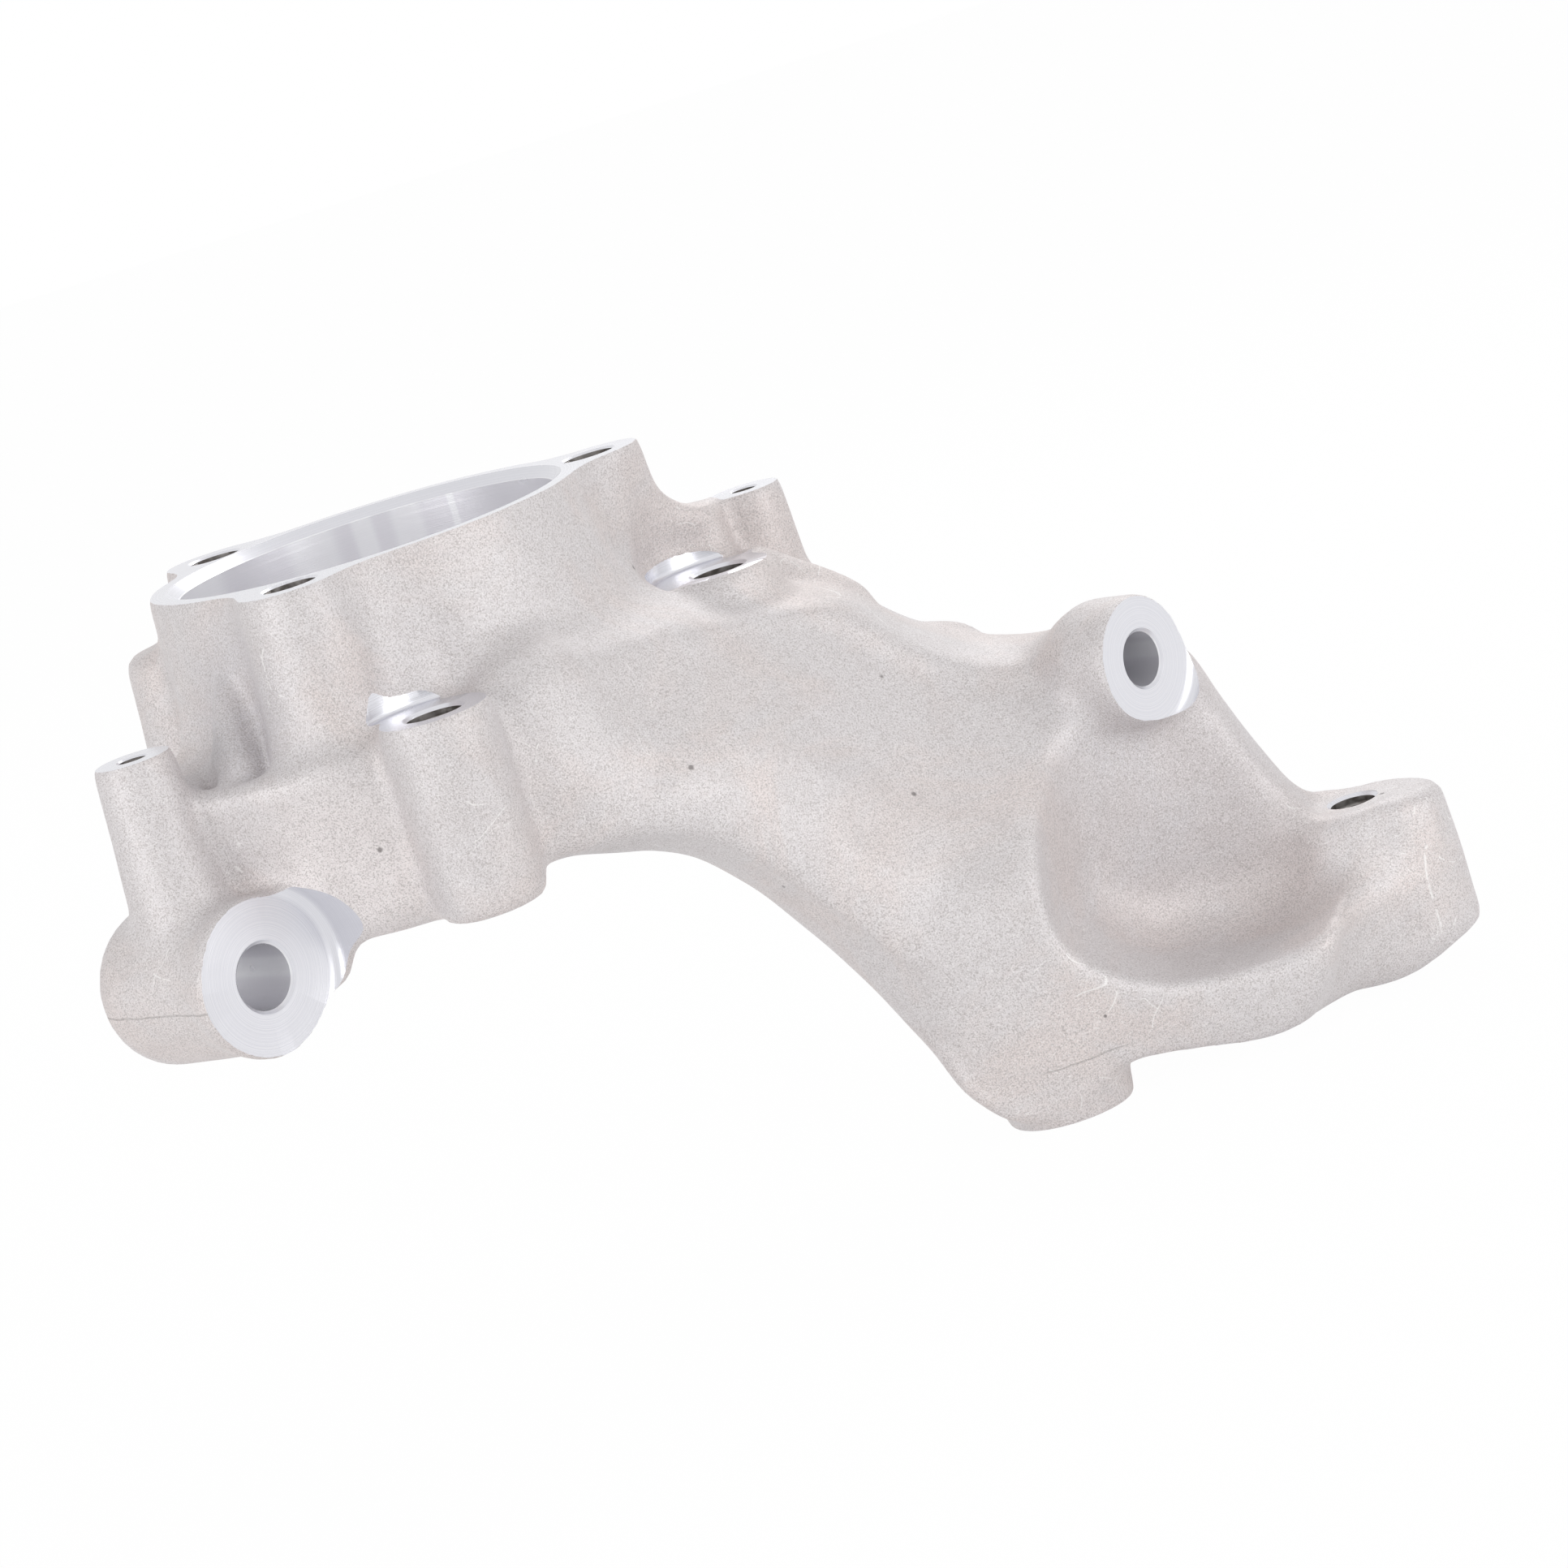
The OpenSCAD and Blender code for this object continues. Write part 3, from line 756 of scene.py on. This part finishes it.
class Tree:
    """A node tree under construction."""

    def __init__(self, nodes_of):
        self.nodes = nodes_of.nodes
        self.links = nodes_of.links

    def node(self, kind, settings=None, inputs=None, output=0):
        """Adds a node: its settings first, then the values or links of its inputs."""
        made = self.nodes.new(kind)
        for name, value in (settings or {}).items():
            setattr(made, name, value)
        for name, value in (inputs or {}).items():
            if isinstance(value, Link):
                self.links.new(value.socket, made.inputs[name])
            else:
                made.inputs[name].default_value = value
        return Link(self, made.outputs[output]) if made.outputs else made

    def mix(self, share, a, b):
        """Colour a with a share of colour b laid over it."""
        return self.node("ShaderNodeMix", {"data_type": "RGBA"}, {0: share, 6: a, 7: b}, 2)

    def vectors(self, operation, a, b, output=0):
        return self.node("ShaderNodeVectorMath", {"operation": operation}, {0: a, 1: b}, output)

    def noise(self, place, scale, detail=2.0, rough=0.5, distortion=0.0):
        return self.node("ShaderNodeTexNoise", {"noise_dimensions": "3D"}, {
            "Vector": place, "Scale": scale, "Detail": detail, "Roughness": rough, "Distortion": distortion})


def new_material(name):
    material = bpy.data.materials.new(name)
    material.use_nodes = True
    material.node_tree.nodes.clear()
    return material, Tree(material.node_tree)


def colour(r, g, b):
    """A colour as it is seen on a screen, from 0 to 255, made linear."""
    linear = [((c / 255 + 0.055) / 1.055) ** 2.4 if c > 10 else c / 255 / 12.92 for c in (r, g, b)]
    return tuple(linear) + (1.0,)


# Larger pits, and where the skin is chipped, each with its radius
PITS = (
    ((83.1, -56, -86.3), 1.1), ((103, -55.5, -77), 0.6), ((93, -57, -84), 0.5), ((66, -55, -48), 0.8),
    ((136, -57, -151), 0.6), ((131, -57, -150), 0.5), ((-8, -84, -72), 0.5),
)
CHIPPED = (
    ((124, -57, -134), 8), ((130, -57, -144), 8), ((140, -57, -152), 9), ((153, -57, -158), 7),
    ((12, -88, -58), 9), ((118, -57, -158), 5),
)
# Broad patches of painted shade and painted light, greyer or warmer in hue: a point, how far they reach,
# their colour and their share
SHADE_AND_LIGHT_PATCHES = (
    ((166, -15, -110), 46, (207, 204, 207), 0.6),
    ((-32, -46, -28), 30, (202, 199, 203), 0.7),
    ((-22, -78, -62), 28, (233, 225, 224), 0.6),
)
# Parting lines: their height, and where they start and end along X
PARTINGS = ((-80.6, -90, -52), (-158.6, 112, 136))


def near(t, place, point, inner, outer):
    """One within the inner distance of a point, in millimetres, and nought beyond the outer one."""
    away = t.vectors("DISTANCE", place, tuple(c * MM for c in point), 1) / MM
    return 1 - away.between(inner, outer)


def stains_and_painted_light(t, place, cloud):
    """The skin's tones before its grain: grey and pinkish, with clouds, smears, and broad patches of painted
    shade and light.
    """
    stain = t.noise(place, 21, 5.0, 0.62, 0.8)
    smear = t.noise(place, 11, 3.0, 0.5, 1.2)
    base = t.mix(stain.between(0.42, 0.62), colour(216, 212, 213), colour(218, 209, 207))
    base = t.mix(cloud.between(0.52, 0.78) * 0.5, base, colour(194, 187, 186))
    base = t.mix(smear.between(0.55, 0.72) * 0.4, base, colour(224, 221, 222))
    # Painted shade in the scoop and at the barrel's front, and painted light on the skirt.
    for point, reach, tone, share in SHADE_AND_LIGHT_PATCHES:
        base = t.mix(near(t, place, point, 0.4 * reach, reach) * share, base, colour(*tone))
    return base


def pits(t, place):
    """Where the skin is pitted: thinly, in one cell of eight, and at a few larger pits."""
    cells, chosen = [t.node("ShaderNodeTexVoronoi", {"voronoi_dimensions": "3D"}, {
        "Vector": place, "Scale": 85.0}, output) for output in (0, 1)]
    pick = t.node("ShaderNodeSeparateColor", {}, {"Color": chosen})
    pit = (1 - cells.between(0.03, 0.075)) * pick.between(0.86, 0.88)
    for point, r in PITS:
        pit = pit + near(t, place, point, 0.6 * r, r)
    return pit


def scratched(t, place, base):
    """Bright scratches over a base: strewn in patches, and dense where the skin is chipped."""
    patch = t.noise(place, 34).between(0.57, 0.64) * t.noise(place, 380, 1.0).between(0.46, 0.54)
    crumbs = t.noise(place, 300, 1.0).between(0.42, 0.5)
    for point, r in CHIPPED:
        patch = patch + near(t, place, point, 0.4 * r, r) * crumbs
    patch = patch.between(0.2, 0.8) * 0.55
    for scale, bend in ((70, 0.0), (118, 0.5)):
        curl = t.noise(place, scale, 0.0, 0.5, bend)
        line = 1 - abs(curl - 0.5).between(0.002, 0.008)
        base = t.mix(line * patch, base, colour(246, 245, 244))
    return base


def parted(t, place, base):
    """The traces of the mould's parting over a base, which wander a little in height."""
    x, z = [t.node("ShaderNodeSeparateXYZ", {}, {"Vector": place}, k) / MM for k in (0, 2)]
    wander = t.noise(place, 118, 0.0, 0.5, 0.5) - 0.5
    for height, low, high in PARTINGS:
        seam = 1 - abs(z - height + wander * 1.2).between(0.12, 0.34)
        seam = seam * x.between(low, low + 4) * (1 - x.between(high - 4, high))
        base = t.mix(seam * 0.35, base, colour(120, 114, 112))
    return base


def cast_skin():
    """Blasted aluminium skin: fine grain, grey and pinkish stains with broad painted shade and light, small
    pits painted dark as their shade, light scratches.
    """
    material, t = new_material("cast_skin")
    place = t.node("ShaderNodeTexCoord", output=3)
    speckle = t.noise(place, 4200, 1.0)
    grain = t.noise(place, 2500, 2.0, 0.6)
    mottle = t.noise(place, 240, 3.0, 0.6)
    cloud = t.noise(place, 38, 4.0, 0.6, 0.4)
    pit = pits(t, place)

    base = stains_and_painted_light(t, place, cloud)
    base = t.mix(mottle.between(0.4, 0.7) * 0.2, base, colour(192, 184, 183))
    base = t.mix((1 - grain.between(0.34, 0.56)) * 0.75, base, colour(172, 165, 164))
    base = t.mix(speckle.between(0.5, 0.68) * 0.55, base, colour(246, 243, 243))
    # Painted shade: the pits are painted dark, for the shade inside them.
    base = t.mix(pit * 0.7, base, colour(92, 86, 84))
    base = scratched(t, place, base)
    base = parted(t, place, base)

    height = grain * 0.6 + speckle * 0.25 + mottle * 0.9 - pit * 1.5
    bump = t.node("ShaderNodeBump", {}, {"Strength": 0.45, "Distance": 0.0002, "Height": height})
    shader = t.node("ShaderNodeBsdfPrincipled", {}, {
        "Base Color": base, "Roughness": 0.5 + cloud * 0.16, "Metallic": 0.3, "Normal": bump})
    t.node("ShaderNodeOutputMaterial", {}, {"Surface": shader})
    return material


def turned_finish(name, centre, axis, hole_r=0.0, across=UP, painted_reflections=()):
    """Machined aluminium with fine rings about an axis. In a bore, bands of painted reflection run along
    its wall, painted into its colour; they lie at shares of its radius across the view."""
    material, t = new_material(name)
    place = t.node("ShaderNodeTexCoord", output=3)
    turn = Vector(axis).rotation_difference(Vector((0, 0, 1))).to_matrix()
    shift = -(turn @ Vector([c * MM for c in centre]))
    local = t.node("ShaderNodeMapping", {}, {
        "Vector": place, "Location": tuple(shift), "Rotation": tuple(turn.to_euler())})
    flat = t.vectors("MULTIPLY", local, (1, 1, 0))
    out = t.vectors("LENGTH", flat, (0, 0, 0), 1)
    along = t.node("ShaderNodeSeparateXYZ", {}, {"Vector": local}, 2)
    path = (out + along) / (0.22 * MM)
    rings = t.node("ShaderNodeTexNoise", {"noise_dimensions": "1D"}, {"W": path, "Scale": 1.0, "Detail": 2.0})
    broad = t.noise(place, 60, 3.0)
    bump = t.node("ShaderNodeBump", {}, {"Strength": 0.2, "Distance": 0.0001, "Height": rings})
    base = t.mix(rings.between(0.3, 0.7), colour(231, 231, 236), colour(218, 218, 224))
    # Painted reflection: the hole's wall is painted paler, with bright bands across it.
    if painted_reflections:
        way = t.vectors("DOT_PRODUCT", flat, tuple(turn @ Vector(across)), 1) / (hole_r * MM)
        lit = 0.0
        for at, width in painted_reflections:
            lit = (1 - abs(way - at).between(0.3 * width, width)) + lit
        lit = lit.between(0.0, 1.0)
        inside = 1 - (out / MM).between(hole_r + 0.1, hole_r + 0.3)
        base = t.mix(inside * (1 - lit) * 0.8, base, colour(234, 233, 237))
        base = t.mix(inside * lit * 0.8, base, colour(250, 250, 252))
    shader = t.node("ShaderNodeBsdfPrincipled", {}, {
        "Base Color": base, "Metallic": 0.58 if painted_reflections else 0.95,
        "Roughness": 0.22 + broad * 0.08, "Normal": bump})
    t.node("ShaderNodeOutputMaterial", {}, {"Surface": shader})
    return material


def cut_thread():
    """Bare threaded holes, painted darker for the shade inside them."""
    material, t = new_material("cut_thread")
    place = t.node("ShaderNodeTexCoord", output=3)
    shade_patches = t.noise(place, 420, 3.0)
    # Painted shade of the holes, in patches of darker and lighter grey.
    base = t.mix(shade_patches.between(0.35, 0.65), colour(118, 112, 108), colour(164, 160, 158))
    shader = t.node("ShaderNodeBsdfPrincipled", {}, {
        "Base Color": base, "Metallic": 0.9, "Roughness": 0.3 + shade_patches * 0.2})
    t.node("ShaderNodeOutputMaterial", {}, {"Surface": shader})
    return material


# Threads


def thread_tree():
    """Geometry nodes that wind one thread ridge down a hole."""
    tree = bpy.data.node_groups.new("thread", "GeometryNodeTree")
    face = tree.interface
    face.new_socket("Geometry", in_out="INPUT", socket_type="NodeSocketGeometry")
    for name in ("Radius", "Pitch", "Turns"):
        face.new_socket(name, in_out="INPUT", socket_type="NodeSocketFloat")
    face.new_socket("Material", in_out="INPUT", socket_type="NodeSocketMaterial")
    face.new_socket("Geometry", in_out="OUTPUT", socket_type="NodeSocketGeometry")
    t = Tree(tree)
    inlet = tree.nodes.new("NodeGroupInput")
    holes, radius, pitch, turns, finish = [
        Link(t, inlet.outputs[name]) for name in ("Geometry", "Radius", "Pitch", "Turns", "Material")]
    line = t.node("GeometryNodeCurveSpiral", {}, {
        "Resolution": 28, "Rotations": turns, "Start Radius": radius, "End Radius": radius,
        "Height": turns * pitch})
    ridge = t.node("GeometryNodeCurvePrimitiveCircle", {"mode": "RADIUS"}, {
        "Resolution": 3, "Radius": pitch * 0.5})
    wound = t.node("GeometryNodeCurveToMesh", {}, {"Curve": line, "Profile Curve": ridge, "Fill Caps": True})
    turn = t.node("GeometryNodeInputNamedAttribute", {"data_type": "FLOAT_VECTOR"}, {"Name": "way"})
    along = t.node("FunctionNodeAlignRotationToVector", {"axis": "Z"}, {"Vector": turn})
    placed = t.node("GeometryNodeInstanceOnPoints", {}, {
        "Points": holes, "Instance": wound, "Rotation": along})
    solid = t.node("GeometryNodeRealizeInstances", {}, {"Geometry": placed})
    done = t.node("GeometryNodeSetMaterial", {}, {"Geometry": solid, "Material": finish})
    outlet = tree.nodes.new("NodeGroupOutput")
    tree.links.new(done.socket, outlet.inputs["Geometry"])
    return tree


def threads(tree, material, name, mouths, way, radius, start, pitch, turns):
    """Threads in one set of equal holes, wound outwards along the way from a start deep in each."""
    mesh = bpy.data.meshes.new(name)
    mesh.from_pydata([tuple((c - start * w) * MM for c, w in zip(p, way)) for p in mouths], [], [])
    ways = mesh.attributes.new("way", "FLOAT_VECTOR", "POINT")
    for item in ways.data:
        item.vector = way
    piece = make_object(name, mesh)
    step = piece.modifiers.new("thread", "NODES")
    step.node_group = tree
    sockets = {i.name: i.identifier for i in tree.interface.items_tree if i.in_out == "INPUT"}
    values = {"Radius": radius * MM, "Pitch": pitch * MM, "Turns": turns, "Material": material}
    for key, value in values.items():
        step[sockets[key]] = value
    done = bpy.data.meshes.new_from_object(piece.evaluated_get(bpy.context.evaluated_depsgraph_get()))
    piece.modifiers.clear()
    piece.data = done
    return piece


# The scene


def build_knuckle():
    """The casting as one closed mesh, machined and finished."""
    grid = Grid((-88, -94, -178), (232, 62, 4), PITCH)
    points, quads = surface_of(casting_field(grid), grid)
    piece = make_object("knuckle_casting", make_mesh("knuckle_casting", points, quads))
    piece.data.materials.append(cast_skin())
    for name, centre, axis, *bands in AXES:
        piece.data.materials.append(turned_finish("turned_" + name, centre, axis, *bands))
    piece.data.materials.append(cut_thread())
    machine(piece)
    mesh = piece.data
    mesh.transform(Matrix.Scale(MM, 4))
    mesh.polygons.foreach_set("use_smooth", np.ones(len(mesh.polygons), bool))
    mesh.set_sharp_from_angle(angle=math.radians(34))
    mesh.update()
    return piece


def build_threads(finish):
    """Every set of threads: its name, the mouths of its holes and the way out of them, then its radius,
    how deep it starts, its pitch and its turns."""
    tree = thread_tree()
    up, down = (0, 0, 1), (0, 0, -1)
    sets = (
        ("flange_threads", flange_holes(), up, BOLT_HOLE_R, BOLT_HOLE_H - 1, 1.5, 14.6),
        ("caliper_threads", [FRONT_CALIPER, SIDE_CALIPER], up, CALIPER_HOLE_R, CALIPER_HOLE_H - 4, 1.5, 28),
        ("shield_threads", [NEAR_SHIELD, FAR_SHIELD], up, SHIELD_HOLE_R, SHIELD_HOLE_H - 2, 1.0, 17),
        ("arm_end_threads", [ARM_END], up, END_HOLE_R, END_HOLE_H - 2, 1.25, 22.5),
        ("stay_threads", [STAY], down, STAY_HOLE_R, STAY_HOLE_H - 2, 1.5, 17.5),
    )
    return [threads(tree, finish, *row) for row in sets]


def build_camera():
    """The photograph's camera, fitted to the circles of the bores and faces."""
    lean, roll = math.radians(11.70), math.radians(17.25)
    back = Vector((0, -math.cos(lean), math.sin(lean)))
    up = Vector((0, math.sin(lean), math.cos(lean)))
    side = Vector((1, 0, 0))
    right = math.cos(roll) * side - math.sin(roll) * up
    top = math.sin(roll) * side + math.cos(roll) * up
    data = bpy.data.cameras.new("camera")
    data.sensor_width = 36
    data.lens = 95.94
    data.clip_start = 0.05
    camera = make_object("camera", data)
    turn = Matrix((right, top, back)).transposed().to_4x4()
    camera.matrix_world = Matrix.Translation((0.07657, -0.97789, 0.11472)) @ turn
    bpy.context.scene.camera = camera


def seen_white(name, tone, share):
    """Pale ground that the camera sees as white, but for a faint shadow."""
    material, t = new_material(name)
    ray = t.node("ShaderNodeLightPath", output=0)
    gloss = t.node("ShaderNodeLightPath", output=3)
    seen = ray + gloss
    plain = t.node("ShaderNodeBsdfDiffuse", {}, {"Color": tone})
    white = t.node("ShaderNodeEmission", {}, {"Color": (1, 1, 1, 1), "Strength": 1.0})
    shader = t.node("ShaderNodeMixShader", {}, {0: seen * share, 1: plain, 2: white})
    t.node("ShaderNodeOutputMaterial", {}, {"Surface": shader})
    return material


def build_ground(low):
    """A wide floor just under the part."""
    mesh = bpy.data.meshes.new("ground")
    mesh.from_pydata([(-6, -6, low), (6, -6, low), (6, 6, low), (-6, 6, low)], [], [(0, 1, 2, 3)])
    ground = make_object("ground", mesh)
    mesh.materials.append(seen_white("pale_ground", (0.95, 0.95, 0.95, 1), 0.98))


def build_light():
    """An even sky that the camera sees as white, and three soft lamps."""
    world = bpy.data.worlds.new("studio")
    bpy.context.scene.world = world
    world.use_nodes = True
    world.node_tree.nodes.clear()
    t = Tree(world.node_tree)
    ray = t.node("ShaderNodeLightPath", output=0)
    gloss = t.node("ShaderNodeLightPath", output=3)
    seen = ray.maths("MAXIMUM", ray, gloss * 0.9)
    sky = t.node("ShaderNodeBackground", {}, {"Color": (1, 1, 1, 1), "Strength": 0.61})
    white = t.node("ShaderNodeBackground", {}, {"Color": (1, 1, 1, 1), "Strength": 1.0})
    shader = t.node("ShaderNodeMixShader", {}, {0: seen, 1: sky, 2: white})
    t.node("ShaderNodeOutputWorld", {}, {"Surface": shader})
    aim = Vector((0.07, 0, -0.08))
    for name, place, size, power in (
        ("key", (-1.0, -0.9, 0.05), 0.8, 6.6),
        ("fill", (1.05, -0.75, 0.2), 0.8, 4.8),
        ("rim", (0.35, 0.8, 0.7), 0.6, 3.5),
    ):
        data = bpy.data.lights.new(name, "AREA")
        data.size = size
        data.energy = power
        lamp = make_object(name, data)
        lamp.location = place
        lamp.rotation_euler = (aim - Vector(place)).to_track_quat("-Z", "Y").to_euler()


def main():
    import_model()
    cad = [list(c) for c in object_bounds()]
    knuckle = build_knuckle()
    pieces = build_threads(knuckle.data.materials[-1])
    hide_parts("knuckle")
    for piece in [knuckle] + pieces:
        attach(piece, "root")
    build_camera()
    build_light()
    build_ground(cad[0][2] - 0.0004)
    bpy.context.scene.view_settings.view_transform = "Standard"


main()
